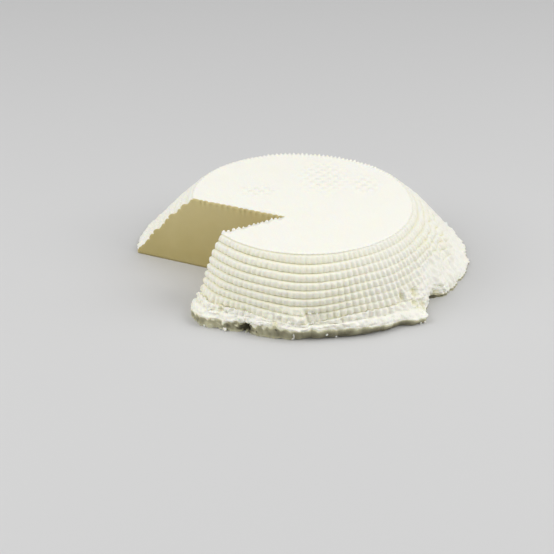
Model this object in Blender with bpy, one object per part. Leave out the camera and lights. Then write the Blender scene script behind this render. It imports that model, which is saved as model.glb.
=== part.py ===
"""A basket-moulded wheel of salted ricotta with one wedge cut out.

Metres, +Z up. The wheel stands on its wide side, with the origin at the middle of its footprint.
Directions are degrees counter-clockwise from +X, seen from above.
"""

import math

import bmesh
import bpy
import numpy as np

# The wheel as the basket moulds it: a low cone whose wall is upright by MOULD_DEPTH
HEIGHT = 0.050
RIM_RADIUS = 0.0745
MOULD_DEPTH = 0.035
WALL_RISE = 0.0160
WALL_ROUNDING = 2.1
RISE_LOBES = [(38, 24, 0.0030), (218, 16, -0.0025)]
CROWN = 0.0005

# The top is slightly oval, and stands off the middle of the foot, which has spread
RIM_CENTRE = (-0.0010, -0.0129)
RIM_OVAL = 0.0024
RIM_OVAL_DIRECTION = 118
FOOT_CENTRE_FROM_RIM = (0.003, 0.013)
FOOT_RADIUS = 0.110

# The front has spread only at its lip, the other sides all the way down
FRONT_DIRECTION = -88
FRONT_HALF_WIDTH = 58
FRONT_SPREAD_POWER = 6.0
SIDE_SPREAD_POWER = 1.7
SPREAD_POWER_LOBES = [(224, 14, 3.5)]

# Lobes on the two outlines: direction, half width in degrees, reach
RIM_LOBES = [(38, 22, 0.0018), (205, 35, -0.0040)]
FOOT_LOBES = [(30, 15, 0.0018), (150, 22, 0.0080), (217, 16, -0.0060), (268, 14, 0.0010), (298, 12, 0.0025)]

# Torn places of the foot's outline: direction, half width, reach, and a power that is higher
# where the place reaches less far up the wall
FOOT_CRAGS = [
    (-45, 5, 0.0060, 8),
    (-29, 8, -0.0090, 8),
    (-14, 7, -0.0040, 8),
    (217, 6, -0.0030, 16),
    (230, 8, 0.0065, 6),
    (247, 5, -0.0025, 8),
]

# The ledges that the basket's hoops leave
RING_COUNT = 8
RING_PITCH = 0.0046
LEDGE_DROP = 0.0007
LEDGE_REACH = 0.0004
FACE_DROP = 0.0039
GROOVE_DEPTH = 0.0007

# Where the ledges sag or rise: direction, half width, shift near the rim, more at the last ledge
LEDGE_SHIFTS = [(-88, 14, -0.0010, -0.0012), (-113, 9, 0.0, 0.0008), (-68, 14, 0.0, 0.0022)]
LEVEL_BELOW_RIM = 0.005

# The ragged lip, high at the front with an undercut band below it
LIP_HIGH = 0.0080
LIP_LOW = 0.0020
LIP_HIGH_DIRECTION = 245
LIP_HIGH_HALF_WIDTH = 62
LIP_DIPS = [(215, 7, 0.6)]
LIP_REACH = 0.0010
FOOT_UNDERCUT = 0.0005
LIP_CRUMBLE = 0.0008
LIP_WAVE = 0.0004
LIP_WAVE_COUNTS = (11, 17, 26)
CRUMBLE_BELOW = 0.0200
SEED = 12

# Broken places low on the wall: direction, height, size, depth
BREAKS = [(-28, 0.0028, 0.0045, 0.0036), (-39, 0.0190, 0.0050, 0.0013), (-112, 0.0035, 0.0045, 0.0032)]

# The wedge that was cut out; its tip is off the middle
NOTCH_TIP_FROM_RIM = (-0.0104, -0.0247)
NOTCH_BACK_DIRECTION = 155.2
NOTCH_FRONT_DIRECTION = 210.4
CUTTER_LENGTH = 0.20
CUTTER_MARGIN = 0.010

COLUMNS = 144
TOP_RINGS = (0.0, 0.35, 0.70, 0.97)
WELD = 0.00001
CHEESE_COLOUR = (0.87, 0.85, 0.74, 1.0)
CHEESE_ROUGHNESS = 0.65


def clear_scene():
    for thing in list(bpy.data.objects):
        bpy.data.objects.remove(thing, do_unlink=True)


def turn_from(direction, middle):
    """Degrees from one direction to another, between -180 and 180."""
    return (direction - middle + 180) % 360 - 180


def lobes(direction, table):
    """Sum of the smooth bumps that a table of lobes gives in one direction."""
    total = 0.0
    for middle, half_width, reach in table:
        total += reach * math.exp(-((turn_from(direction, middle) / half_width) ** 2))
    return total


def rim_radius(direction):
    oval = RIM_OVAL * math.cos(2 * math.radians(direction - RIM_OVAL_DIRECTION))
    return RIM_RADIUS + oval + lobes(direction, RIM_LOBES)


def spread_radius(direction):
    """Distance from the rim's centre to the spread foot, whose circle has its own centre."""
    along = math.radians(direction)
    shift_x, shift_y = FOOT_CENTRE_FROM_RIM
    forward = shift_x * math.cos(along) + shift_y * math.sin(along)
    aside = shift_x * math.sin(along) - shift_y * math.cos(along)
    return forward + math.sqrt(FOOT_RADIUS**2 - aside**2) + lobes(direction, FOOT_LOBES)


def crag_reach(direction, depth):
    """How far the torn places stand out at a depth of 0 at the rim to 1 at the lip."""
    total = 0.0
    for middle, half_width, reach, power in FOOT_CRAGS:
        fade = math.exp(-((turn_from(direction, middle) / half_width) ** 2))
        total += reach * fade * depth**power
    return total


def foot_radius(direction):
    return spread_radius(direction) + crag_reach(direction, 1.0)


def lip_height(direction):
    turn = turn_from(direction, LIP_HIGH_DIRECTION)
    high = math.exp(-((turn / LIP_HIGH_HALF_WIDTH) ** 4)) * (1 - lobes(direction, LIP_DIPS))
    return LIP_LOW + (LIP_HIGH - LIP_LOW) * high


def ledge_shift(direction, fall):
    """How far a ledge at a depth below the top stands above its level place."""
    depth = fall / (RING_COUNT * RING_PITCH)
    total = 0.0
    for middle, half_width, near_rim, more_below in LEDGE_SHIFTS:
        fade = math.exp(-((turn_from(direction, middle) / half_width) ** 2))
        total += fade * (near_rim + more_below * depth**2)
    return total * min(1.0, fall / LEVEL_BELOW_RIM)


def wall_radius(direction, height):
    """The regular wall, spread outwards until it meets the lip."""
    rim = rim_radius(direction)
    rise = WALL_RISE + lobes(direction, RISE_LOBES)
    moulded = 1 - (1 - min(1.0, (HEIGHT - height) / MOULD_DEPTH)) ** WALL_ROUNDING
    depth = min(1.0, (HEIGHT - height) / (HEIGHT - lip_height(direction)))
    front = math.exp(-((turn_from(direction, FRONT_DIRECTION) / FRONT_HALF_WIDTH) ** 4))
    power = SIDE_SPREAD_POWER + (FRONT_SPREAD_POWER - SIDE_SPREAD_POWER) * front
    power += lobes(direction, SPREAD_POWER_LOBES)
    flare = (spread_radius(direction) - rim - rise) * depth**power
    return rim + rise * moulded + flare + crag_reach(direction, depth)


def break_depth(direction, height):
    """How deep the crumbled places are at a point of the wall."""
    depth = 0.0
    for middle, middle_height, size, most in BREAKS:
        across = math.radians(turn_from(direction, middle)) * foot_radius(middle)
        distance = math.hypot(across, height - middle_height)
        depth += most * math.exp(-((distance / size) ** 2))
    return depth


def turned_profile():
    """Zone, relief and height of each point from the middle of the top to that of the bottom.

    The relief is a part of the rim's radius on the top, and a step off the smooth wall below it.
    """
    profile = [("top", part, HEIGHT) for part in TOP_RINGS]
    for ring in range(RING_COUNT):
        ring_top = HEIGHT - ring * RING_PITCH
        profile.append(("wall", LEDGE_REACH, ring_top - LEDGE_DROP))
        profile.append(("wall", 0.0, ring_top - FACE_DROP))
        profile.append(("wall", -GROOVE_DEPTH, ring_top - RING_PITCH))
    profile.append(("shoulder", 0.0, LIP_HIGH))
    profile.append(("lip", LIP_REACH, LIP_LOW))
    profile.append(("foot", -FOOT_UNDERCUT, 0.0))
    profile.append(("bottom", 0.0, 0.0))
    return profile


def turn_wheel(profile):
    """Spin the profile once round, each point marked with its row, and weld its seam and poles."""
    mesh = bmesh.new()
    row_of = mesh.verts.layers.int.new("row")
    points = []
    for row, (zone, relief, height) in enumerate(profile):
        radius = {"top": RIM_RADIUS * relief, "bottom": 0.0}.get(zone, RIM_RADIUS + WALL_RISE)
        point = mesh.verts.new((radius, 0.0, height))
        point[row_of] = row
        points.append(point)
    edges = [mesh.edges.new(pair) for pair in zip(points, points[1:])]
    bmesh.ops.spin(
        mesh,
        geom=points + edges,
        cent=(0, 0, 0),
        axis=(0, 0, 1),
        angle=2 * math.pi,
        steps=COLUMNS,
        use_merge=True,
    )
    bmesh.ops.remove_doubles(mesh, verts=mesh.verts, dist=WELD)
    bmesh.ops.recalc_face_normals(mesh, faces=mesh.faces)
    return mesh


def crumbled_edge():
    """One reach for each column: slow waves along the lip with small crumbs on them."""
    random = np.random.RandomState(SEED)
    crumbs = random.uniform(-1, 1, COLUMNS) * LIP_CRUMBLE
    turn = np.linspace(0, 2 * math.pi, COLUMNS, endpoint=False)
    waves = sum(np.sin(count * turn + random.uniform(0, 2 * math.pi)) for count in LIP_WAVE_COUNTS)
    return crumbs + waves * LIP_WAVE


def slumped_place(zone, relief, height, direction, edge, other_edge):
    """Radius and height of a point of the soft cheese, from its zone and relief."""
    if zone == "top":
        return rim_radius(direction) * relief, HEIGHT + CROWN * (1 - relief**2)
    if zone == "bottom":
        return 0.0, 0.0
    if zone == "foot":
        return foot_radius(direction) + relief + edge, 0.0
    if zone == "lip":
        return foot_radius(direction) + relief + edge, lip_height(direction) + other_edge / 2
    if zone == "shoulder":
        last_ledge = HEIGHT - RING_COUNT * RING_PITCH
        height = (lip_height(direction) + last_ledge + ledge_shift(direction, HEIGHT - last_ledge)) / 2
    else:
        height += ledge_shift(direction, HEIGHT - height)
    crumbling = edge * max(0.0, 1 - height / CRUMBLE_BELOW)
    return wall_radius(direction, height) + relief + crumbling - break_depth(direction, height), height


def slump(mesh, profile):
    """Move the turned points to the shape of the soft, spread cheese, and stand it in its frame."""
    edges = crumbled_edge()
    row_of = mesh.verts.layers.int["row"]
    for point in mesh.verts:
        angle = math.atan2(point.co.y, point.co.x)
        column = round(angle / (2 * math.pi) * COLUMNS) % COLUMNS
        opposite = (column + COLUMNS // 2) % COLUMNS
        place = (*profile[point[row_of]], math.degrees(angle), edges[column], edges[opposite])
        radius, height = slumped_place(*place)
        point.co = (radius * math.cos(angle), radius * math.sin(angle), height)
    bmesh.ops.translate(mesh, verts=mesh.verts, vec=(*RIM_CENTRE, 0.0))


def cheese_material():
    material = bpy.data.materials.new("salted_ricotta")
    material.use_nodes = True
    shader = material.node_tree.nodes["Principled BSDF"]
    shader.inputs["Base Color"].default_value = CHEESE_COLOUR
    shader.inputs["Roughness"].default_value = CHEESE_ROUGHNESS
    shader.inputs["Metallic"].default_value = 0.0
    return material


def make_object(name, mesh):
    data = bpy.data.meshes.new(name)
    mesh.to_mesh(data)
    mesh.free()
    thing = bpy.data.objects.new(name, data)
    bpy.context.scene.collection.objects.link(thing)
    return thing


def make_wheel():
    profile = turned_profile()
    mesh = turn_wheel(profile)
    slump(mesh, profile)
    wheel = make_object("cheese_wheel", mesh)
    wheel.data.materials.append(cheese_material())
    return wheel


def make_notch_cutter():
    """Upright prism over the missing wedge, from its tip to well past the foot."""
    mesh = bmesh.new()
    tip_x = RIM_CENTRE[0] + NOTCH_TIP_FROM_RIM[0]
    tip_y = RIM_CENTRE[1] + NOTCH_TIP_FROM_RIM[1]
    corners = [mesh.verts.new((tip_x, tip_y, -CUTTER_MARGIN))]
    for direction in (NOTCH_BACK_DIRECTION, NOTCH_FRONT_DIRECTION):
        along = math.radians(direction)
        x = tip_x + CUTTER_LENGTH * math.cos(along)
        y = tip_y + CUTTER_LENGTH * math.sin(along)
        corners.append(mesh.verts.new((x, y, -CUTTER_MARGIN)))
    floor = mesh.faces.new(corners)
    raised = bmesh.ops.extrude_face_region(mesh, geom=[floor])["geom"]
    tops = [part for part in raised if isinstance(part, bmesh.types.BMVert)]
    bmesh.ops.translate(mesh, verts=tops, vec=(0, 0, HEIGHT + 2 * CUTTER_MARGIN))
    bmesh.ops.recalc_face_normals(mesh, faces=mesh.faces)
    cutter = make_object("notch_cutter", mesh)
    cutter.hide_render = True
    cutter.display_type = "WIRE"
    return cutter


def cut_notch(wheel, cutter):
    cut = wheel.modifiers.new("notch", "BOOLEAN")
    cut.operation = "DIFFERENCE"
    cut.solver = "EXACT"
    cut.object = cutter


def main():
    clear_scene()
    wheel = make_wheel()
    cut_notch(wheel, make_notch_cutter())


main()
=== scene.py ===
import math
import random

import bmesh
import bpy
from mathutils import Matrix, Vector, noise


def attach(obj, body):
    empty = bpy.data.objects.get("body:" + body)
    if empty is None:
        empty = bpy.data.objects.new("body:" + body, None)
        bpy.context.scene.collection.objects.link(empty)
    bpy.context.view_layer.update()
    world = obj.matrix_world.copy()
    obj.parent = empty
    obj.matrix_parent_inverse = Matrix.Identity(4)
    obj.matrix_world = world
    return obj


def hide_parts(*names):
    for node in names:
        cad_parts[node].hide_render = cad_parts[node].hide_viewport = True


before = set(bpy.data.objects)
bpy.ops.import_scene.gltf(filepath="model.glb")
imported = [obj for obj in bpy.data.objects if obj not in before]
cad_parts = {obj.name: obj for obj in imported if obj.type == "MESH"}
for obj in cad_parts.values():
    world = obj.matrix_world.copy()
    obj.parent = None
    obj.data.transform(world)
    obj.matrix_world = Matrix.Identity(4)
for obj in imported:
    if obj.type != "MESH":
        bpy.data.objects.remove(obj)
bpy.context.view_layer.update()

print("frame loaded")

# the wheel's form, in metres and in degrees counter-clockwise from +X; radii start at the rim's centre
wheel = {
    "height": 0.050,
    "rimCentre": (-0.0010, -0.0129),
    "rimRadius": 0.0745,
    # how much longer than round, and in which direction
    "rimOval": (0.0024, 118),
    # lobes: direction, half width, reach
    "rimLobes": [(38, 22, 0.0018), (205, 35, -0.0040)],
    "crown": 0.0005,
    # the moulded wall: how deep it goes, how far it comes out from the rim and how round it is
    "mouldDepth": 0.035,
    "wallRise": 0.0160,
    "riseLobes": [(38, 24, 0.0030), (218, 16, -0.0025)],
    "wallRounding": 2.1,
    # the foot is a circle with lobes, shifted from the rim's centre
    "footShift": (0.003, 0.013),
    "footRadius": 0.110,
    "footLobes": [
        (30, 15, 0.0018),
        (150, 22, 0.0080),
        (217, 16, -0.0060),
        (268, 14, 0.0010),
        (298, 12, 0.0025),
    ],
    # torn places: direction, half width, reach, and a power that keeps them low on the wall
    "footCrags": [
        (-45, 5, 0.0060, 8),
        (-29, 8, -0.0090, 8),
        (-14, 7, -0.0040, 8),
        (217, 6, -0.0030, 16),
        (230, 8, 0.0065, 6),
        (247, 5, -0.0025, 8),
    ],
    # the spread towards the foot starts low at the front, higher at the sides
    "front": (-88, 58),
    "frontPower": 6.0,
    "sidePower": 1.7,
    "powerLobes": [(224, 14, 3.5)],
    # the foot's lip stands high at the front
    "lipHigh": 0.0080,
    "lipLow": 0.0015,
    "lipFront": (249, 73),
    "lipDips": [(215, 7, 0.6), (257, 8, -0.18), (271, 6, -0.15)],
    "rings": 8,
    "ringPitch": 0.0046,
    # the rim stands in for the first ring's groove, down to this share of the pitch
    "firstRingFrom": 0.2,
    # direction, half width, shift near the rim, more at the last ring
    "ringShifts": [(-88, 14, -0.0010, -0.0012), (-113, 9, 0.0, 0.0008), (-68, 14, 0.0, 0.0022)],
    "levelBelowRim": 0.005,
    # rows of the mesh over the top, how far out they reach, and how much closer they stand there
    "topRows": 8,
    "topReach": 0.965,
    "topSpacing": 0.85,
    "lowRings": 2,
    # the underside starts this far in from the foot's edge
    "underIn": 0.010,
}

# the wheel's outline from the top down
sections = {
    # the top's edge with the thin line below it, darkened as painted shade: share of the rim's radius, drop,
    # how hidden
    "rim": [
        (0.984, 0.0, 0.0),
        (0.994, 0.00005, 0.0),
        (1.000, 0.00020, 0.0),
        (1.002, 0.00048, 0.3),
        (1.000, 0.00085, 0.95),
    ],
    # one ring from its groove down: share of the pitch, step off the wall, share of the ribs, how hidden
    # (painted shade)
    "ring": [
        (0.00, -0.00120, 0.2, 1.05),
        (0.06, -0.00080, 0.2, 0.60),
        (0.12, 0.00030, 0.4, 0.0),
        (0.20, 0.00068, 0.7, 0.0),
        (0.32, 0.00072, 1.0, 0.0),
        (0.46, 0.00058, 1.0, 0.04),
        (0.60, 0.00034, 1.0, 0.10),
        (0.75, 0.00002, 1.0, 0.18),
        (0.88, -0.00034, 0.9, 0.32),
        (0.96, -0.00074, 0.5, 0.70),
    ],
    # one torn ring on the spread foot: share of its width, share of its depth, of the ribs, how hidden (painted
    # shade)
    "lowRing": [
        (0.00, -0.8, 0.3, 0.4),
        (0.08, -0.5, 0.4, 0.3),
        (0.17, 0.1, 0.6, 0.1),
        (0.27, 0.6, 0.8, 0.0),
        (0.38, 0.8, 1.0, 0.0),
        (0.50, 0.7, 1.0, 0.0),
        (0.62, 0.5, 1.0, 0.0),
        (0.74, 0.2, 1.0, 0.1),
        (0.84, -0.1, 0.8, 0.1),
        (0.93, -0.5, 0.5, 0.3),
    ],
    # the foot's band from the lip down: share of the lip's height, step inwards
    "band": [
        (0.95, 0.0004),
        (0.88, 0.0008),
        (0.78, 0.0011),
        (0.67, 0.0013),
        (0.56, 0.0016),
        (0.45, 0.0020),
        (0.34, 0.0026),
        (0.23, 0.0034),
        (0.12, 0.0046),
        (0.00, 0.0070),
    ],
}

# the wheel's surface; patches are direction, height, half width in degrees, half height, strength
relief = {
    # the basket's ribs, with a whole number of the mesh's columns to each
    "ribs": 152,
    "columnsPerRib": 5,
    # the direction where they stand closer together, and how many more there would be at that spacing
    "ribsCloser": (90, 8),
    "ribShape": (1.6, 1.8),
    "ribDepth": 0.00073,
    # how uneven they are, more where the hoops are sharp; and how fast that changes, with a turn and a ring
    "ribUneven": (0.25, 0.55),
    "ribChange": (0.9, 7.3),
    # where they lean: direction, half width, degrees at the foot; then its share over the shelf
    "ribDrift": (-35, 30, 8.5),
    "shelfDrift": (0.74, 0.11),
    "strongRibs": [
        (-79, 0.0150, 8, 0.0016, 0.3),
        (-127, 0.0165, 13, 0.0040, 0.25),
        (-38, 0.0280, 22, 0.0160, 0.15),
        (158, 0.0300, 22, 0.0180, 0.4),
    ],
    # the smooth front: where it is, what it leaves of the ribs, and the heights where it sets in
    "plainFront": (250, 34),
    "plainShare": 0.48,
    "plainAbove": (0.010, 0.020),
    # where the hoops show less: direction, half width, how much less
    "softSides": [(-95, 26, 0.12), (-50, 28, 0.53), (36, 32, 0.30), (160, 18, 0.40)],
    # the hoops' lumps, and how far their grooves wander below the rim
    "ringLump": 0.00045,
    "ringWander": 0.00030,
    "quickWander": 0.5,
    "wanderFrom": (0.0, 0.010),
    # shares of the hoops and of the ribs that are lost where it is worn
    "wornHoops": 0.8,
    "wornRibs": 0.5,
    # slanting streaks, strongest where the ribs are plain
    "streak": 0.00028,
    "streakMost": 1.35,
    # the top: size and depth of its unevenness, and the teeth at its edge
    "topUneven": (0.012, 0.00022),
    "rimBead": {
        "reach": 0.0009,
        "rise": 0.0007,
        "lift": 0.3,
        "from": 0.97,
        "best": (72, 40),
        "least": 0.35,
        "uneven": 0.9,
        "size": 2.5,
    },
    # where rings go on over the spread foot: direction, half width, depth
    "lowRings": [(-134, 26, 0.0016), (-64, 24, 0.0015), (80, 50, 0.0006), (152, 26, 0.0009)],
    "lowRingsUneven": 0.8,
    # how much of that depth goes outwards and into ribs, and how much less of it goes upwards at the lip
    "lowRingsOut": 0.6,
    "lowRingsRibs": 0.8,
    "lowRingsFade": 0.8,
    "shelfGroove": 0.0006,
    # soft folds that follow the ribs, and wider ones that don't: direction, half width, depth
    "fans": [(4, 34, 0.0006), (75, 40, 0.0007), (145, 22, 0.0009)],
    "fansFade": 0.5,
    "pleats": [(-8, 24, 0.0042), (60, 60, 0.0012)],
    "pleatsFrom": (0.004, 0.024),
    "pleatsFade": 0.75,
    "worn": [
        (-137, 0.007, 12, 0.005, 0.7),
        (-118, 0.011, 14, 0.003, 0.4),
        (-97, 0.012, 7, 0.005, 0.8),
        (-82, 0.010, 7, 0.003, 0.6),
        (-42, 0.010, 8, 0.008, 1.0),
        (-26, 0.009, 9, 0.014, 1.0),
        (-8, 0.010, 14, 0.011, 0.7),
        (14, 0.012, 17, 0.017, 0.8),
        (38, 0.008, 18, 0.013, 0.7),
        (-34, 0.020, 6, 0.008, 0.5),
        (-24, 0.019, 8, 0.008, 0.6),
        (150, 0.006, 20, 0.008, 0.6),
    ],
    "crumbly": [
        (-147, 0.012, 7, 0.007, 0.8),
        (-133, 0.009, 13, 0.006, 1.1),
        (-114, 0.010, 12, 0.005, 1.0),
        (-96, 0.013, 8, 0.007, 1.1),
        (-82, 0.010, 9, 0.004, 1.1),
        (-62, 0.009, 18, 0.005, 1.1),
        (-41, 0.012, 9, 0.009, 1.0),
        (-27, 0.005, 9, 0.006, 0.8),
        (0, 0.006, 30, 0.006, 0.7),
        (40, 0.003, 40, 0.003, 0.5),
        (90, 0.003, 40, 0.003, 0.7),
        (150, 0.004, 30, 0.004, 0.8),
    ],
    "grainSize": 0.0034,
    "grainMiddle": 0.42,
    "grainDepth": 0.0013,
    # how much of the grain is left where the cheese isn't crumbly
    "grainLeast": 0.08,
    "grainRise": 0.4,
    "gritSize": 0.0013,
    "gritShare": 0.30,
    "flakeSize": (0.005, 0.005, 0.0020),
    "flakeDepth": 0.0009,
    "slowSize": 0.018,
    "slowDepth": 0.00035,
    "fineSize": 0.0012,
    "fineDepth": 0.00022,
    # the lip: sizes in degrees and depths of its waves, how ragged it is, and the scallops at the back
    "lipWaves": [(9.0, 0.0010), (2.5, 0.0009), (1.1, 0.0005)],
    "lipOut": 0.0006,
    "lipRagged": 0.0021,
    "raggedBelow": 0.015,
    "raggedScale": 14.0,
    "raggedDetail": (0.7, 2.2, 4),
    "raggedRange": (-0.45, 0.3),
    "scallops": {"place": (35, 85), "reach": 0.0007, "lift": 0.4},
    # the band below the lip: where and how much it is tucked in, where it is torn
    "tuckFront": (-66, 26),
    "tuck": (0.12, 0.60),
    "bandTorn": (-122, 27),
    "bandTornLeast": 0.3,
    "bandTornFine": 0.6,
    # depth of the tears and of the grain in them
    "bandDepth": 0.0009,
    "bandGrain": 0.00108,
    # the crease at the front: proud on its left, sunken on its right
    "fold": {
        "foot": (-88.6, 0.0146),
        "lean": -240,
        "middle": 0.0128,
        "tall": 0.0062,
        "step": 0.0022,
        "proudWidth": 8,
        "sunkenWidth": 9,
        "sunken": 0.6,
        "crease": 0.5,
    },
    # holes, and lumps where the depth is negative: direction, height, radius, depth
    "pits": [
        (-28, 0.0028, 0.0045, 0.0036),
        (-111.5, 0.0035, 0.0031, 0.0090),
        (-48.1, 0.0158, 0.0018, 0.0018),
        (-41.0, 0.0152, 0.0024, 0.0022),
        (-43.3, 0.0106, 0.0022, 0.0020),
        (-39.6, 0.0064, 0.0028, 0.0026),
        (-46.2, 0.0178, 0.0022, -0.0008),
        (-43.9, 0.0140, 0.0020, -0.0009),
        (-38.2, 0.0111, 0.0026, -0.0014),
        (-35.5, 0.0080, 0.0024, -0.0014),
        (-36.0, 0.0150, 0.0022, -0.0009),
        (-30.1, 0.0090, 0.0022, -0.0010),
        (-42.5, 0.0050, 0.0024, -0.0010),
        (-116, 0.0055, 0.0018, 0.0006),
        (-123, 0.0115, 0.0018, 0.0014),
        (-119, 0.0085, 0.0018, -0.0010),
        (-107, 0.0110, 0.0020, -0.0012),
        (-100, 0.0105, 0.0017, 0.0016),
        (-91.5, 0.0130, 0.0022, -0.0012),
    ],
    "pitCircle": 0.095,
    "pitRagged": 0.9,
    "pitNoise": (0.0016, 0.0011),
    # noise over the side: width in degrees, height, lean in metres to one width (0 is upright), layer
    "sideNoises": {
        "streak": (1.5, 0.004, 0.006, 7.0),
        "pleat": (3.2, 0.016, -0.012, 3.0),
        "lowRing": (4, 0.004, 0, 6.0),
        "torn": (1.8, 0.0030, 0, 5.5),
        "tornFine": (0.9, 0.0015, 0, 8.5),
        "cloud": (5, 0.006, 0, 1.0),
    },
    # noise round the wheel: scale, and change with the fall or from ring to ring
    "roundNoises": {
        "wander": (3.5, 50),
        "quickWander": (17, 2.1),
        "lump": (24, 2.7),
    },
}

# how hidden from the light each place is, painted into the curd's colour as shade: 0 in the open, 2 in the
# deepest hole
shade = {
    "most": 2.0,
    "top": 0.06,
    "rimLineBest": (-108, 42),
    "rimLineLeast": 0.4,
    "wall": 0.10,
    "front": (-88, 42),
    "frontMore": 0.22,
    "groovePower": 1.3,
    "betweenRibs": 0.22,
    # under the last ring, fading fast towards the lip, and in the grooves of the torn rings
    "belowRings": 0.3,
    "belowRingsPower": 6,
    "lowRings": 180,
    "crumbly": 0.04,
    "pitDepth": 0.0020,
    "pitMost": 0.9,
    # the band: everywhere, more round its middle, and at the tucked front darker further down
    "band": 0.62,
    "bandMiddle": (0.46, 0.40),
    "bandMiddleMore": 0.82,
    "bandTuck": (0.75, -0.15),
    # its ragged light edge: least and most width, and where it begins
    "bandEdge": (0.08, 0.75, 0.15),
    "bandTorn": 0.22,
    "bandCloud": 0.35,
    "bandPitDepth": 0.0024,
}


def turnFrom(direction, middle):
    return (direction - middle + 180) % 360 - 180


def bell(value, width, power=2):
    return math.exp(-abs(value / width) ** power)


def ramp(value, start, end):
    return min(1.0, max(0.0, (value - start) / (end - start)))


# 1 in the middle of a place, given as its direction and half width, and 0 far from it
def around(direction, place, power=2):
    middle, width = place
    return bell(turnFrom(direction, middle), width, power)


def lobes(direction, table):
    return sum(reach * bell(turnFrom(direction, middle), width) for middle, width, reach in table)


# patches that overlap add up, but not past 1.2
def patches(direction, height, table):
    total = 0.0
    for middle, middleHeight, width, tall, strength in table:
        turn = turnFrom(direction, middle)
        if abs(turn) < 2 * width:
            total += strength * bell(turn, width, 4) * bell(height - middleHeight, tall, 4)
    return min(1.2, total)


def rayAt(direction):
    along = math.radians(direction)
    return Vector((math.cos(along), math.sin(along), 0))


def spotAt(direction, radius, height):
    along = math.radians(direction)
    offset = Vector((radius * math.cos(along), radius * math.sin(along), height))
    return Vector((*wheel["rimCentre"], 0)) + offset


# each use of noise reads a layer of its own
def noiseAt(x, y, layer):
    return noise.noise(Vector((x, y, layer)))


def sideNoise(kind, direction, height):
    wide, tall, lean, layer = relief["sideNoises"][kind]
    across = direction / wide + (height / lean if lean else 0.0)
    return noiseAt(across, height / tall, layer)


def roundNoise(kind, direction, place):
    scale, change = relief["roundNoises"][kind]
    return noise.noise(rayAt(direction) * scale + Vector((0, 0, place * change)))


def rimRadius(direction):
    oval, along = wheel["rimOval"]
    oval *= math.cos(2 * math.radians(direction - along))
    return wheel["rimRadius"] + oval + lobes(direction, wheel["rimLobes"])


def spreadRadius(direction):
    along = math.radians(direction)
    shiftX, shiftY = wheel["footShift"]
    forward = shiftX * math.cos(along) + shiftY * math.sin(along)
    aside = shiftX * math.sin(along) - shiftY * math.cos(along)
    reach = math.sqrt(wheel["footRadius"] ** 2 - aside ** 2)
    return forward + reach + lobes(direction, wheel["footLobes"])


# how far the torn places stand out, from depth 0 at the rim to 1 at the lip
def cragReach(direction, depth):
    total = 0.0
    for middle, width, reach, power in wheel["footCrags"]:
        total += reach * bell(turnFrom(direction, middle), width) * depth ** power
    return total


def footRadius(direction):
    return spreadRadius(direction) + cragReach(direction, 1.0)


def lipHeight(direction):
    high = around(direction, wheel["lipFront"], 4) * (1 - lobes(direction, wheel["lipDips"]))
    wave = sum(depth * noiseAt(direction / size, size, 2.5) for size, depth in relief["lipWaves"])
    return wheel["lipLow"] + (wheel["lipHigh"] - wheel["lipLow"] + wave) * high


# how far a ring's groove stands above its level place
def ringShift(direction, fall):
    depth = fall / (wheel["rings"] * wheel["ringPitch"])
    total = 0.0
    for middle, width, near, more in wheel["ringShifts"]:
        total += bell(turnFrom(direction, middle), width) * (near + more * depth ** 2)
    return total * min(1.0, fall / wheel["levelBelowRim"])


def wallRadius(direction, height):
    fall = wheel["height"] - height
    rim = rimRadius(direction)
    rise = wheel["wallRise"] + lobes(direction, wheel["riseLobes"])
    moulded = 1 - (1 - min(1.0, fall / wheel["mouldDepth"])) ** wheel["wallRounding"]
    power = wheel["sidePower"]
    power += (wheel["frontPower"] - power) * around(direction, wheel["front"], 4)
    power += lobes(direction, wheel["powerLobes"])
    depth = min(1.0, fall / (wheel["height"] - lipHeight(direction)))
    flare = (spreadRadius(direction) - rim - rise) * depth ** power
    return rim + rise * moulded + flare + cragReach(direction, depth)


def shelfStart(direction):
    depth = wheel["rings"] * wheel["ringPitch"]
    return wheel["height"] - depth + ringShift(direction, depth)


def pitDepth(direction, height):
    sizeAcross, sizeUp = relief["pitNoise"]
    depth = 0.0
    for middle, middleHeight, size, most in relief["pits"]:
        across = math.radians(turnFrom(direction, middle)) * relief["pitCircle"]
        if abs(across) < 3 * size:
            uneven = noiseAt(across / sizeAcross, height / sizeUp, size / 0.0001)
            ragged = 1 + relief["pitRagged"] * uneven
            depth += most * bell(math.hypot(across, height - middleHeight) * ragged, size, 3)
    return depth


def foldStep(direction, height):
    fold = relief["fold"]
    middle, middleHeight = fold["foot"]
    turn = turnFrom(direction, middle + fold["lean"] * (height - middleHeight))
    fade = bell(height - fold["middle"], fold["tall"], 4)
    side = bell(turn, fold["proudWidth"]) if turn < 0 else -fold["sunken"] * bell(turn, fold["sunkenWidth"])
    return fold["step"] * side * min(1.0, abs(turn) / fold["crease"]) * fade


def pleatStep(direction, height):
    return sideNoise("pleat", direction, height) * lobes(direction, relief["pleats"])


# how deep the weave is: less between the hoops of the smooth front, 1 where it shows best
def ribShare(direction, height):
    plain = around(direction, relief["plainFront"], 6) * ramp(height, *relief["plainAbove"])
    return 1 - (1 - relief["plainShare"]) * plain


# the hoops show less on the soft sides
def ringShare(direction):
    return 1 - lobes(direction, relief["softSides"])


# ribs passed since direction 0; they stand closer together at the back
def ribPhase(direction):
    middle, more = relief["ribsCloser"]
    sway = more / (2 * math.pi)
    back = math.radians(middle)
    return direction / 360 * relief["ribs"] + sway * (math.sin(math.radians(direction) - back) + math.sin(back))


# from -1 between two ribs to 0.8 on a rib
def ribWave(direction):
    power, height = relief["ribShape"]
    return abs(math.sin(math.pi * ribPhase(direction))) ** power * height - 1.0


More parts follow.
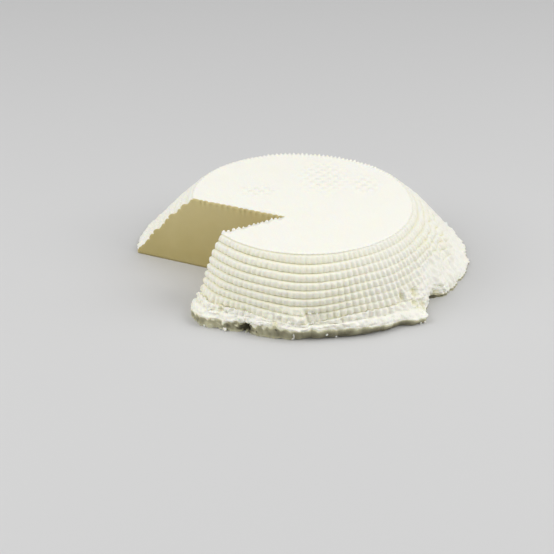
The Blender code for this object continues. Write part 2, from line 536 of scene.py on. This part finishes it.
# the ribs lean where the foot has spread aside
def ribDrift(row, direction):
    middle, width, most = relief["ribDrift"]
    near, more = relief["shelfDrift"]
    kind, share = row[:2]
    depths = {"top": 0.0, "rim": 0.0, "wall": share / wheel["height"], "shelf": near + more * share}
    return most * bell(turnFrom(direction, middle), width) * depths.get(kind, near + more) ** 2


# directions of the columns; each is moved a few times, until the ribs passed are right
def columnDirections():
    count = relief["ribs"] * relief["columnsPerRib"]
    directions = []
    for column in range(count):
        goal = column / relief["columnsPerRib"]
        direction = goal / relief["ribs"] * 360
        for _ in range(6):
            direction += (goal - ribPhase(direction)) / relief["ribs"] * 360
        directions.append(direction)
    return directions


# every row of the mesh: kind, place along its part, step, share of the ribs, how hidden
def profileRows():
    rows = []
    count = wheel["topRows"]
    for row in range(count):
        share = wheel["topReach"] * (row / (count - 1)) ** wheel["topSpacing"]
        rows.append(("top", share, 0.0, 0.0, 0.0))
    for share, drop, hidden in sections["rim"]:
        rows.append(("rim", share, drop, 0.0, hidden))
    for ring in range(wheel["rings"]):
        for share, step, rib, hidden in sections["ring"]:
            if ring > 0 or share >= wheel["firstRingFrom"]:
                rows.append(("wall", (ring + share) * wheel["ringPitch"], step, rib, hidden))
    for ring in range(wheel["lowRings"]):
        for share, step, rib, hidden in sections["lowRing"]:
            rows.append(("shelf", (ring + share) / wheel["lowRings"], step, rib, hidden))
    rows.append(("shelf", 1.0, 0.0, 0.0, 0.0))
    for share, inward in sections["band"]:
        rows.append(("band", share, inward, 0.0, 0.0))
    for share in (0.5, 0.0):
        rows.append(("under", share, 0.0, 0.0, 0.0))
    return rows


def topPlace(row, direction, wave):
    kind, share, drop, _, hidden = row
    size, depth = relief["topUneven"]
    radius = rimRadius(direction) * share
    height = wheel["height"] + wheel["crown"] * (1 - min(1.0, share) ** 2)
    height += depth * noise.noise(rayAt(direction) * radius / size)
    if kind == "rim":
        bead = relief["rimBead"]
        raised = (wave + bead["lift"]) * ribShare(direction, wheel["height"]) * ramp(share, bead["from"], 1.0)
        raised *= bead["least"] + (1 - bead["least"]) * around(direction, bead["best"], 4)
        raised *= 1 + bead["uneven"] * noiseAt(direction / bead["size"], 0.0, 9.0)
        radius += raised * bead["reach"]
        height += raised * bead["rise"] - drop
    # painted shade: the thin line under the rim, strongest round the front
    line = shade["rimLineLeast"] + (1 - shade["rimLineLeast"]) * around(direction, shade["rimLineBest"], 4)
    return radius, height, shade["top"] + hidden * ringShare(direction) * line


def wallPlace(row, direction, wave):
    fall, step, rib, hidden = row[1:]
    ring = int(fall / wheel["ringPitch"] + 0.001)  # rounding must not lose a ring
    wander = roundNoise("wander", direction, fall)
    wander += relief["quickWander"] * roundNoise("quickWander", direction, ring)
    height = wheel["height"] - fall + ringShift(direction, fall)
    height += relief["ringWander"] * wander * ramp(fall, *relief["wanderFrom"])
    worn = patches(direction, height, relief["worn"])
    strong = patches(direction, height, relief["strongRibs"])
    sharp = ringShare(direction)
    clear = sharp * (1 - relief["wornHoops"] * min(1.0, worn))
    plain = ribShare(direction, height)
    least, more = relief["ribUneven"]
    byTurn, byRing = relief["ribChange"]
    uneven = least + more * ramp(sharp, 0.5, 1.0)
    uneven = 1 + uneven * noiseAt(direction * byTurn, ring * byRing, 1.5)
    depth = relief["ribDepth"] * (plain * uneven * (1 - relief["wornRibs"] * worn) + strong)
    rib += (1 - rib) * (1 - sharp)
    lump = roundNoise("lump", direction, ring)
    radius = wallRadius(direction, height) + step * clear
    radius += rib * (wave * depth + relief["ringLump"] * lump * sharp)
    radius += relief["streak"] * sideNoise("streak", direction, height) * (relief["streakMost"] - plain)
    radius += pleatStep(direction, height) * ramp(fall, *relief["pleatsFrom"])
    # painted shade: the walls a little darker and warmer, more at the front, most in the grooves and between
    # the ribs
    dim = shade["wall"] + shade["frontMore"] * around(direction, shade["front"], 4)
    hidden = dim * clear + hidden * clear ** shade["groovePower"]
    hidden += shade["betweenRibs"] * rib * max(0.0, -wave) * depth / relief["ribDepth"]
    return radius, height, hidden


def shelfPlace(row, direction, wave):
    share, step, rib, hiddenInGroove = row[1:]
    start = shelfStart(direction)
    height = start + (lipHeight(direction) - start) * share
    sharp = 1 - min(1.0, patches(direction, height, relief["worn"]))
    ring = lobes(direction, relief["lowRings"])
    ring *= 1 + relief["lowRingsUneven"] * sideNoise("lowRing", direction, height)
    radius = wallRadius(direction, height) - relief["shelfGroove"] * sharp * (1 - share) ** 3
    radius += wave * lobes(direction, relief["fans"]) * (1 - relief["fansFade"] * share)
    radius += pleatStep(direction, height) * (1 - relief["pleatsFade"] * share)
    radius += relief["lowRingsOut"] * step * ring
    radius += relief["lowRingsRibs"] * rib * wave * ring * (1 - share)
    radius += relief["lipOut"] * share ** 2
    height += step * ring * (1 - relief["lowRingsFade"] * share)
    # painted shade under the last ring and in the torn rings' grooves
    hidden = shade["belowRings"] * sharp * (1 - share) ** shade["belowRingsPower"]
    hidden += shade["lowRings"] * hiddenInGroove * ring
    return radius, height, hidden


def bandPlace(row, direction, wave):
    share, inward = row[1:3]
    lip = lipHeight(direction)
    tucked = around(direction, relief["tuckFront"], 4)
    least, more = relief["tuck"]
    inward *= (least + more * tucked) * lip / wheel["lipHigh"]
    # painted shade on the band below the lip, darkest round its middle and low on the tucked front
    middle, width = shade["bandMiddle"]
    below, near = shade["bandTuck"]
    hidden = shade["band"] + shade["bandMiddleMore"] * bell(share - middle, width, 4)
    hidden += tucked * (below * (1 - share) + near)
    return footRadius(direction) + relief["lipOut"] - inward, lip * share, hidden


# the torn band: how far it stands out more, and how hidden it is
def tearBand(share, direction, height, grain, hidden):
    torn = sideNoise("torn", direction, height)
    torn += relief["bandTornFine"] * sideNoise("tornFine", direction, height)
    least = relief["bandTornLeast"]
    rough = least + (1 - least) * around(direction, relief["bandTorn"], 4)
    narrow, wide, start = shade["bandEdge"]
    hidden *= ramp(1 - share, 0.0, narrow + wide * rough * max(0.0, start + torn))
    hidden -= rough * shade["bandTorn"] * torn
    hidden -= shade["bandCloud"] * sideNoise("cloud", direction, height)
    reach = relief["bandDepth"] * torn + relief["bandGrain"] * grain
    return rough * reach * (1 - share ** 4), hidden


sides = {"wall": wallPlace, "shelf": shelfPlace, "band": bandPlace}


# radius and height of one point, how hidden from the light it is and how crumbly
def placeOf(row, direction, wave):
    kind, share = row[:2]
    if kind in ("top", "rim"):
        return (*topPlace(row, direction, wave), 0.0)
    if kind == "under":
        return (footRadius(direction) - wheel["underIn"]) * share, 0.0, 0.0, 0.0
    ray = rayAt(direction)
    radius, height, hidden = sides[kind](row, direction, wave)
    pit = pitDepth(direction, height)
    radius += foldStep(direction, height) - pit
    # painted shade in the holes
    if kind == "band":
        hidden += pit / shade["bandPitDepth"]
    else:
        hidden += min(shade["pitMost"], pit / shade["pitDepth"])
    spot = ray * radius + Vector((0, 0, height))
    radius += relief["slowDepth"] * noise.noise(spot / relief["slowSize"])
    radius += relief["fineDepth"] * noise.noise(spot / relief["fineSize"])
    crumbly = patches(direction, height, relief["crumbly"])
    grain = relief["grainMiddle"] - noise.voronoi(spot / relief["grainSize"])[0][0]
    if kind == "band":
        torn, hidden = tearBand(share, direction, height, grain, hidden)
        radius += torn
    else:
        grit = relief["gritShare"] * noise.noise(spot / relief["gritSize"])
        flake = noise.noise(Vector([along / size for along, size in zip(spot, relief["flakeSize"])]))
        radius += (grain + grit) * relief["grainDepth"] * (relief["grainLeast"] + crumbly)
        radius += flake * relief["flakeDepth"] * crumbly
        height += grain * relief["grainDepth"] * relief["grainRise"] * crumbly
        # painted shade in the grain's hollows where it crumbles
        hidden += shade["crumbly"] * crumbly * max(0.0, -grain - 0.5 * flake)
    low = ramp(height, relief["raggedBelow"], 0.0)
    least, most = relief["raggedRange"]
    ragged = noise.fractal(ray * relief["raggedScale"], *relief["raggedDetail"])
    ragged = min(most, max(least, ragged))
    radius += ragged * relief["lipRagged"] * low
    scallops = relief["scallops"]
    scallop = (wave + scallops["lift"]) * scallops["reach"] * low ** 3
    radius += scallop * around(direction, scallops["place"], 6)
    return radius, max(height, 0.0), min(shade["most"], max(0.0, hidden)), crumbly


def turnWheel():
    rows = profileRows()
    directions = columnDirections()
    mesh = bmesh.new()
    rowOf = mesh.verts.layers.int.new("row")
    points = []
    # spun at rough radii, which only keep the rows apart, and then each point is moved to its place
    for index, row in enumerate(rows):
        onAxis = row[0] in ("top", "under") and row[1] == 0
        point = mesh.verts.new((0.0 if onAxis else wheel["rimRadius"], 0, wheel["height"] - 0.0004 * index))
        point[rowOf] = index
        points.append(point)
    edges = [mesh.edges.new(pair) for pair in zip(points, points[1:])]
    bmesh.ops.spin(
        mesh,
        geom=points + edges,
        cent=(0, 0, 0),
        axis=(0, 0, 1),
        angle=2 * math.pi,
        steps=len(directions),
        use_merge=True,
    )
    bmesh.ops.remove_doubles(mesh, verts=mesh.verts, dist=1e-6)
    print("wheel turned:", len(mesh.verts), "points")
    hiddenOf = mesh.verts.layers.float.new("hidden")
    crumblyOf = mesh.verts.layers.float.new("crumbly")
    for point in mesh.verts:
        share = math.atan2(point.co.y, point.co.x) / (2 * math.pi)
        direction = directions[round(share * len(directions)) % len(directions)]
        row = rows[point[rowOf]]
        wave = ribWave(direction)
        direction += ribDrift(row, direction)
        radius, height, point[hiddenOf], point[crumblyOf] = placeOf(row, direction, wave)
        point.co = spotAt(direction, radius, height)
    bmesh.ops.recalc_face_normals(mesh, faces=mesh.faces)
    return mesh


def newPiece(name, mesh, material):
    data = bpy.data.meshes.new(name)
    for face in mesh.faces:
        face.smooth = True
    mesh.to_mesh(data)
    mesh.free()
    data.materials.append(material)
    piece = bpy.data.objects.new(name, data)
    bpy.context.scene.collection.objects.link(piece)
    return piece


# the notch, and the teeth that the weave left along the cuts: its tip, and the directions of its sides
cut = {
    "tip": (-0.0114, -0.0376),
    "back": 155.2,
    "front": 210.4,
    "reach": 0.13,
    "below": 0.010,
    "above": 0.010,
    "steps": 220,
    "levels": 30,
    # painted shade on the cut faces, how hidden: at the upper edge, and from this height down
    "shade": (0.10, 0.85),
    "darkBelow": 0.008,
    "teethPitch": 0.0042,
    "teethDepth": 0.0013,
    "teethFade": 0.0016,
    "teethBack": 1.3,
    "teethPower": 0.8,
    # this much of each tooth stands below the face
    "teethSunk": 0.6,
    # how uneven the teeth are, in place and in height: size along the cut, the height's middle, most
    "teethShift": (0.006, 0.3),
    "teethHeight": (0.009, 0.8, 0.6),
    "dragSize": (0.012, 0.02),
    "dragDepth": 0.00010,
    "sharpTip": 0.004,
}


def toothWave(distance, side):
    size, most = cut["teethShift"]
    phase = distance / cut["teethPitch"] + most * noiseAt(distance / size, side * 9.0, 0)
    size, middle, more = cut["teethHeight"]
    height = middle + more * noiseAt(distance / size, side * 5.0, 4)
    return height * (abs(math.sin(math.pi * phase)) ** cut["teethPower"] - cut["teethSunk"])


def makeCutter(material):
    mesh = bmesh.new()
    tip = Vector((*cut["tip"], -cut["below"]))
    ends = [tip + rayAt(cut[side]) * cut["reach"] for side in ("back", "front")]
    floor = mesh.faces.new([mesh.verts.new(place) for place in (tip, *ends)])
    raised = bmesh.ops.extrude_face_region(mesh, geom=[floor])["geom"]
    tops = [part for part in raised if isinstance(part, bmesh.types.BMVert)]
    tall = wheel["height"] + cut["below"] + cut["above"]
    bmesh.ops.translate(mesh, verts=tops, vec=(0, 0, tall))
    fromTip = [
        edge for edge in mesh.edges
        if sum((point.co.xy - tip.xy).length < 1e-5 for point in edge.verts) == 1
    ]
    bmesh.ops.subdivide_edges(mesh, edges=fromTip, cuts=cut["steps"] - 1, use_grid_fill=True)
    upright = [edge for edge in mesh.edges if abs(edge.verts[0].co.z - edge.verts[1].co.z) > tall / 2]
    bmesh.ops.subdivide_edges(mesh, edges=upright, cuts=cut["levels"] - 1, use_grid_fill=True)
    along, up = cut["dragSize"]
    for point in mesh.verts:
        offset = point.co.xy - tip.xy
        distance = offset.length
        height = point.co.z
        # the tip and the outer end stay where they are, and so do the floor and the lid
        if distance < 1e-5 or distance > cut["reach"] * 0.98:
            continue
        if not -cut["below"] / 2 < height < wheel["height"] + cut["above"] / 2:
            continue
        side = 1 if offset.y > 0 else -1
        outward = Vector((-offset.y, offset.x)).normalized() * -side
        fade = bell(max(0.0, wheel["height"] - height), cut["teethFade"])
        depth = cut["teethDepth"] * toothWave(distance, side) * fade
        depth *= cut["teethBack"] if side > 0 else 1.0
        depth += cut["dragDepth"] * noiseAt(distance / along, side * 3.0, height / up)
        point.co.xy += outward * depth * min(1.0, distance / cut["sharpTip"])
    bmesh.ops.recalc_face_normals(mesh, faces=mesh.faces)
    return newPiece("notchCutter", mesh, material)


def shaderOf(material):
    material.use_nodes = True
    return material.node_tree.nodes["Principled BSDF"]


# fresh curd, for every cheese surface
curd = {
    "cloudScale": 38,
    "grainScale": 620,
    "gritScale": 1700,
    "pinScale": 210,
    # warmer above this value of the clouds, and warmer as painted shade where it is hidden
    "cloudMiddle": 0.42,
    "warmHidden": 0.85,
    # the hidden values over which the painted deep shade comes in
    "deepHidden": (0.8, 1.8),
    "roughness": 0.45,
    "roughClouds": 0.25,
    "grain": -0.6,
    "grit": 0.35,
    "pinWidth": 0.18,
    "pinDepth": 2.0,
    "crumblyMore": 1.3,
    # a lozenge weave pressed faintly into the top: middle and half lengths of each patch
    "weavePatches": [
        ((0.0154, 0.0220, 0.05), (0.0230, 0.0350, 0.02)),
        ((0.0430, 0.0120, 0.05), (0.0150, 0.0190, 0.02)),
        ((-0.0290, 0.0010, 0.05), (0.0170, 0.0110, 0.02)),
    ],
    "weaveFade": 0.35,
    "weaveTurns": (38, -38),
    "weaveScale": 52,
    "weaveBend": 1.5,
    "weaveBendScale": 0.4,
    "bumpStrength": 0.7,
    "glow": 0.25,
    "glowDepth": 0.0012,
    "glowColour": (1.0, 0.75, 0.4),
    "shine": 0.3,
}

finish = {
    "outer": {
        "Light": (0.93, 0.92, 0.85, 1),
        # paler where it crumbles: the crumbs' own white, and partly painted light on the ledge that faces up to
        # the lamps
        "PaleCrumbAndLight": (0.975, 0.960, 0.865, 1),
        # the warm colour paints shade where it is hidden and gives soft patches their own tone; the darkest
        # colour paints the deepest shade
        "Warm": (0.85, 0.82, 0.55, 1),
        "DeepShade": (0.160, 0.146, 0.095, 1),
        "Patch": 0.25,
        "Weave": 3.0,
        "Coarse": 1.0,
    },
    # the cut faces: darker and yellower than the curd inside, painted shade of the notch
    "cut": {
        "Light": (0.69, 0.595, 0.305, 1),
        "PaleCrumbAndLight": (0.69, 0.595, 0.305, 1),
        "Warm": (0.50, 0.415, 0.17, 1),
        "DeepShade": (0.30, 0.24, 0.10, 1),
        "Patch": 0.5,
        "Weave": 0.0,
        "Coarse": 0.35,
    },
    "outerBump": 0.0003,
    "cutBump": 0.0002,
}


# colour, roughness and grain
def makeCurdGroup():
    group = bpy.data.node_groups.new("curdTone", "ShaderNodeTree")
    face = group.interface
    for name in ("Light", "PaleCrumbAndLight", "Warm", "DeepShade"):
        face.new_socket(name, in_out="INPUT", socket_type="NodeSocketColor")
    for name, value in [("Hidden", 0.0), ("Crumbly", 0.0), ("Patch", 0.3), ("Weave", 0.0), ("Coarse", 1.0)]:
        face.new_socket(name, in_out="INPUT", socket_type="NodeSocketFloat").default_value = value
    face.new_socket("Color", in_out="OUTPUT", socket_type="NodeSocketColor")
    face.new_socket("Roughness", in_out="OUTPUT", socket_type="NodeSocketFloat")
    face.new_socket("Height", in_out="OUTPUT", socket_type="NodeSocketFloat")
    nodes, links = group.nodes, group.links
    start = nodes.new("NodeGroupInput").outputs
    end = nodes.new("NodeGroupOutput").inputs
    place = nodes.new("ShaderNodeTexCoord").outputs["Object"]

    def moved(location=(0, 0, 0), turn=0.0, scale=(1, 1, 1)):
        node = nodes.new("ShaderNodeMapping")
        node.inputs["Location"].default_value = location
        node.inputs["Rotation"].default_value = (0, 0, math.radians(turn))
        node.inputs["Scale"].default_value = scale
        links.new(place, node.inputs["Vector"])
        return node.outputs[0]

    def texture(kind, scale, vector=place, **values):
        node = nodes.new(kind)
        node.inputs["Scale"].default_value = scale
        for name, value in values.items():
            node.inputs[name].default_value = value
        links.new(vector, node.inputs["Vector"])
        return node

    def blend(operation, first, second):
        node = nodes.new("ShaderNodeMath")
        node.operation = operation
        for socket, value in zip(node.inputs, (first, second)):
            if isinstance(value, (int, float)):
                socket.default_value = value
            else:
                links.new(value, socket)
        return node.outputs[0]

    def spread(value, low, high, atLow, atHigh):
        node = nodes.new("ShaderNodeMapRange")
        for socket, number in zip(node.inputs[1:5], (low, high, atLow, atHigh)):
            socket.default_value = number
        links.new(value, node.inputs["Value"])
        return node.outputs[0]

    cloud = texture("ShaderNodeTexNoise", curd["cloudScale"], Detail=3.0, Roughness=0.6).outputs["Fac"]
    grains = texture("ShaderNodeTexVoronoi", curd["grainScale"], Randomness=1.0).outputs["Distance"]
    grit = texture("ShaderNodeTexNoise", curd["gritScale"], Detail=2.0, Roughness=0.7).outputs["Fac"]
    pins = texture("ShaderNodeTexVoronoi", curd["pinScale"], Randomness=1.0).outputs["Distance"]

    # pale where it crumbles, partly as painted light; warm as painted shade where light doesn't reach and as
    # its own tone in soft patches; painted deep shade in the most hidden places
    warmth = blend("MULTIPLY", blend("SUBTRACT", cloud, curd["cloudMiddle"]), start["Patch"])
    warmth = blend("ADD", warmth, blend("MULTIPLY", start["Hidden"], curd["warmHidden"]))
    warmth = blend("MINIMUM", blend("MAXIMUM", warmth, 0.0), 1.0)
    deepShade = spread(start["Hidden"], *curd["deepHidden"], 0.0, 1.0)
    colour = start["Light"]
    for share, name in [(start["Crumbly"], "PaleCrumbAndLight"), (warmth, "Warm"), (deepShade, "DeepShade")]:
        mix = nodes.new("ShaderNodeMix")
        mix.data_type = "RGBA"
        links.new(share, mix.inputs[0])
        links.new(colour, mix.inputs[6])
        links.new(start[name], mix.inputs[7])
        colour = mix.outputs[2]
    links.new(colour, end["Color"])

    rough = blend("ADD", blend("MULTIPLY", cloud, curd["roughClouds"]), curd["roughness"])
    links.new(rough, end["Roughness"])

    # grains, finer grit and a few pin holes
    height = blend("ADD", blend("MULTIPLY", grains, curd["grain"]), blend("MULTIPLY", grit, curd["grit"]))
    pins = blend("MULTIPLY", blend("MINIMUM", pins, curd["pinWidth"]), curd["pinDepth"])
    height = blend("ADD", height, pins)

    mask = 0.0
    for middle, half in curd["weavePatches"]:
        inside = nodes.new("ShaderNodeVectorMath")
        inside.operation = "LENGTH"
        offset = [-along / size for along, size in zip(middle, half)]
        links.new(moved(offset, 0.0, [1 / size for size in half]), inside.inputs[0])
        patch = spread(inside.outputs["Value"], curd["weaveFade"], 1.0, 1.0, 0.0)
        mask = blend("MAXIMUM", patch, mask)
    bands = 1.0
    for turn in curd["weaveTurns"]:
        band = texture("ShaderNodeTexWave", curd["weaveScale"], moved(turn=turn), Distortion=curd["weaveBend"])
        band.inputs["Detail Scale"].default_value = curd["weaveBendScale"]
        bands = blend("MULTIPLY", band.outputs["Fac"], bands)
    height = blend("ADD", height, blend("MULTIPLY", blend("MULTIPLY", bands, mask), start["Weave"]))

    coarse = blend("ADD", blend("MULTIPLY", start["Crumbly"], curd["crumblyMore"]), 1.0)
    coarse = blend("MULTIPLY", coarse, start["Coarse"])
    links.new(blend("MULTIPLY", height, coarse), end["Height"])
    return group


def curdMaterial(name, group, values, bumpDepth):
    material = bpy.data.materials.new(name)
    shader = shaderOf(material)
    nodes, links = material.node_tree.nodes, material.node_tree.links
    tone = nodes.new("ShaderNodeGroup")
    tone.node_tree = group
    for socket, value in values.items():
        tone.inputs[socket].default_value = value
    for attribute, socket in [("hidden", "Hidden"), ("crumbly", "Crumbly")]:
        node = nodes.new("ShaderNodeAttribute")
        node.attribute_name = attribute
        links.new(node.outputs["Fac"], tone.inputs[socket])
    bump = nodes.new("ShaderNodeBump")
    bump.inputs["Strength"].default_value = curd["bumpStrength"]
    bump.inputs["Distance"].default_value = bumpDepth
    links.new(tone.outputs["Height"], bump.inputs["Height"])
    links.new(tone.outputs["Color"], shader.inputs["Base Color"])
    links.new(tone.outputs["Roughness"], shader.inputs["Roughness"])
    links.new(bump.outputs["Normal"], shader.inputs["Normal"])
    shader.inputs["Subsurface Weight"].default_value = curd["glow"]
    shader.inputs["Subsurface Scale"].default_value = curd["glowDepth"]
    shader.inputs["Subsurface Radius"].default_value = curd["glowColour"]
    shader.inputs["Specular IOR Level"].default_value = curd["shine"]
    return material


curdTone = makeCurdGroup()
outerCurd = curdMaterial("outerCurd", curdTone, finish["outer"], finish["outerBump"])
cutCurdPaintedShade = curdMaterial("cutCurdPaintedShade", curdTone, finish["cut"], finish["cutBump"])


# painted shade: the cut faces are lightest at their upper edge, darker further down
def shadeCut(data):
    light, dark = cut["shade"]
    hidden = data.attributes["hidden"].data
    for face in data.polygons:
        if face.material_index == 1:
            for index in face.vertices:
                deep = ramp(data.vertices[index].co.z, wheel["height"], cut["darkBelow"])
                hidden[index].value = light + (dark - light) * deep


def makeWheel():
    piece = newPiece("ricottaWheel", turnWheel(), outerCurd)
    cutter = makeCutter(cutCurdPaintedShade)
    knife = piece.modifiers.new("notch", "BOOLEAN")
    knife.operation = "DIFFERENCE"
    knife.solver = "EXACT"
    knife.material_mode = "TRANSFER"
    knife.object = cutter
    graph = bpy.context.evaluated_depsgraph_get()
    carved = bpy.data.meshes.new_from_object(piece.evaluated_get(graph))
    piece.modifiers.clear()
    piece.data = carved
    bpy.data.objects.remove(cutter)
    shadeCut(carved)
    print("notch cut:", len(carved.polygons), "faces")
    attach(piece, "root")
    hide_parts("cheese_wheel")


makeWheel()


# lumps and crumbs that cling to the foot
crumbs = {
    "seed": 7,
    # direction, height, size, stretch upwards
    "placed": [
        (-44.0, 0.0012, 0.0010, 1.0),
        (-45.2, 0.0010, 0.0008, 1.0),
        (-80.8, 0.0036, 0.0007, 1.2),
        (-77.3, 0.0014, 0.0007, 1.0),
        (-93.0, 0.0034, 0.0009, 2.6),
        (-93.4, 0.0012, 0.0007, 1.2),
        (-119.5, 0.0008, 0.0013, 0.9),
        (-127.5, 0.0006, 0.0009, 1.0),
    ],
    # from and to direction, lowest and highest, how many
    "strips": [
        (-141, -98, 0.0088, 0.0115, 18),
        (-98, -84, 0.0085, 0.0180, 12),
        (-34, 60, 0.0008, 0.0030, 14),
        (60, 154, 0.0008, 0.0035, 16),
    ],
    "sizes": (0.0005, 0.0012),
    # least and most of each side and of the stretch, as shares of the size
    "across": (0.8, 1.2),
    "deep": (0.8, 1.3),
    "tall": (0.8, 1.2),
    "out": 0.05,
    "rough": 0.80,
    # the band behind them: how far in it starts, and how much more at the ground
    "band": (0.0015, 0.0045),
}

# teeth of curd along the cut's front upper edge
beads = {
    "seed": 8,
    "first": 0.0035,
    "spacing": 0.0036,
    "spacings": (0.75, 1.20),
    "beforeRim": 0.0015,
    "size": 0.0016,
    "sizes": (0.65, 1.25),
    "smallUpTo": 0.012,
    "lean": 0.0008,
    "below": 0.0004,
    "shape": (1.05, 0.80, 1.00),
    "turns": (-0.3, 0.3),
    "rough": 0.50,
    "pointed": 0.65,
}


def surfaceAt(direction, height):
    lip = lipHeight(direction)
    start = shelfStart(direction)
    if height > start:
        return wallRadius(direction, height) + foldStep(direction, height) - pitDepth(direction, height)
    if height > lip:
        row = ("shelf", (start - height) / (start - lip), 0.0, 0.0, 0.0)
    else:
        near, more = crumbs["band"]
        row = ("band", max(0.05, height / lip), near + more * (1 - height / lip) ** 3, 0.0, 0.0)
    return placeOf(row, direction, 0.0)[0]


# one uneven lump, narrower towards its top where it is pointed
def addLump(mesh, place, sizes, turn, rough, pointed=0.0):
    shape = Matrix.Translation(place) @ Matrix.Rotation(turn, 4, "Z") @ Matrix.Diagonal((*sizes, 1))
    points = bmesh.ops.create_icosphere(mesh, subdivisions=2, radius=1.0, matrix=shape)["verts"]
    size = sum(sizes) / 3
    for point in points:
        offset = point.co - place
        outward = offset.normalized() * size * rough * noise.noise(point.co / size * 0.9)
        offset.xy *= 1 - pointed * ramp(offset.z, 0.0, sizes[2])
        point.co = place + offset + outward


def makeCrumbs():
    chance = random.Random(crumbs["seed"])
    places = list(crumbs["placed"])
    smallest, largest = crumbs["sizes"]
    for first, last, low, high, count in crumbs["strips"]:
        for _ in range(count):
            size = smallest + (largest - smallest) * chance.random() ** 2
            direction, height = chance.uniform(first, last), chance.uniform(low, high)
            places.append((direction, height, size, chance.uniform(*crumbs["tall"])))
    mesh = bmesh.new()
    for direction, height, size, stretch in places:
        radius = surfaceAt(direction, height) + size * crumbs["out"]
        spot = spotAt(direction, radius, max(height, size))
        across, deep = chance.uniform(*crumbs["across"]), chance.uniform(*crumbs["deep"])
        sizes = (size * across, size * deep, size * stretch)
        addLump(mesh, spot, sizes, chance.uniform(0, math.pi), crumbs["rough"])
    bmesh.ops.recalc_face_normals(mesh, faces=mesh.faces)
    piece = newPiece("lipCrumbs", mesh, outerCurd)
    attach(piece, "root")
    print("crumbs placed:", len(places))


def makeBeads():
    chance = random.Random(beads["seed"])
    mesh = bmesh.new()
    tip = Vector((*cut["tip"], wheel["height"] - beads["below"]))
    centre = Vector(wheel["rimCentre"])
    along = math.radians(cut["front"])
    ray = rayAt(cut["front"])
    inward = Vector((ray.y, -ray.x, 0)) * beads["lean"]
    distance = beads["first"]
    while True:
        spot = tip + ray * distance
        offset = spot.xy - centre
        rim = rimRadius(math.degrees(math.atan2(offset.y, offset.x)))
        if offset.length > rim - beads["beforeRim"]:
            break
        grown = 0.5 + 0.5 * ramp(distance, 0, beads["smallUpTo"])
        size = beads["size"] * chance.uniform(*beads["sizes"]) * grown
        sizes = [size * share for share in beads["shape"]]
        turn = along + chance.uniform(*beads["turns"])
        addLump(mesh, spot + inward, sizes, turn, beads["rough"], beads["pointed"])
        distance += beads["spacing"] * chance.uniform(*beads["spacings"])
    bmesh.ops.recalc_face_normals(mesh, faces=mesh.faces)
    piece = newPiece("cutBeads", mesh, outerCurd)
    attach(piece, "root")
    print("beads placed")


makeCrumbs()
makeBeads()


view = {
    "place": (-0.0165, -1.0296, 0.5375),
    "target": (-0.0165, -0.0262, 0.0),
    "lens": 110.7,
    "sensor": 36,
}

studio = {
    "floorSize": 6.0,
    "floorColour": (0.62, 0.62, 0.62),
    "floorRoughness": 0.9,
    "worldColour": (1.0, 1.0, 1.0),
    "worldStrength": 0.42,
    # name, place, size, power
    "lights": [
        ("keyLight", (0.30, 0.20, 1.25), 0.8, 1.8),
        ("rightLight", (1.10, -0.30, 0.95), 0.9, 9.8),
        ("leftLight", (-1.05, -0.31, 0.95), 0.9, 9.4),
    ],
}


def makeFloor():
    mesh = bmesh.new()
    bmesh.ops.create_grid(mesh, x_segments=1, y_segments=1, size=studio["floorSize"] / 2)
    paint = bpy.data.materials.new("paleFloor")
    shader = shaderOf(paint)
    shader.inputs["Base Color"].default_value = (*studio["floorColour"], 1)
    shader.inputs["Roughness"].default_value = studio["floorRoughness"]
    floor = newPiece("floor", mesh, paint)


def makeLights():
    world = bpy.data.worlds.new("softWorld")
    bpy.context.scene.world = world
    world.use_nodes = True
    back = world.node_tree.nodes["Background"]
    back.inputs["Color"].default_value = (*studio["worldColour"], 1)
    back.inputs["Strength"].default_value = studio["worldStrength"]
    for name, place, size, power in studio["lights"]:
        data = bpy.data.lights.new(name, "AREA")
        data.size = size
        data.energy = power
        light = bpy.data.objects.new(name, data)
        light.location = place
        light.rotation_euler = (-Vector(place)).to_track_quat("-Z", "Y").to_euler()
        bpy.context.scene.collection.objects.link(light)
    bpy.context.scene.view_settings.view_transform = "Standard"


def makeCamera():
    data = bpy.data.cameras.new("photoCamera")
    data.lens = view["lens"]
    data.sensor_width = view["sensor"]
    camera = bpy.data.objects.new("photoCamera", data)
    camera.location = view["place"]
    look = Vector(view["target"]) - Vector(view["place"])
    camera.rotation_euler = look.to_track_quat("-Z", "Y").to_euler()
    bpy.context.scene.collection.objects.link(camera)
    bpy.context.scene.camera = camera


makeFloor()
makeLights()
makeCamera()
print("studio set up")
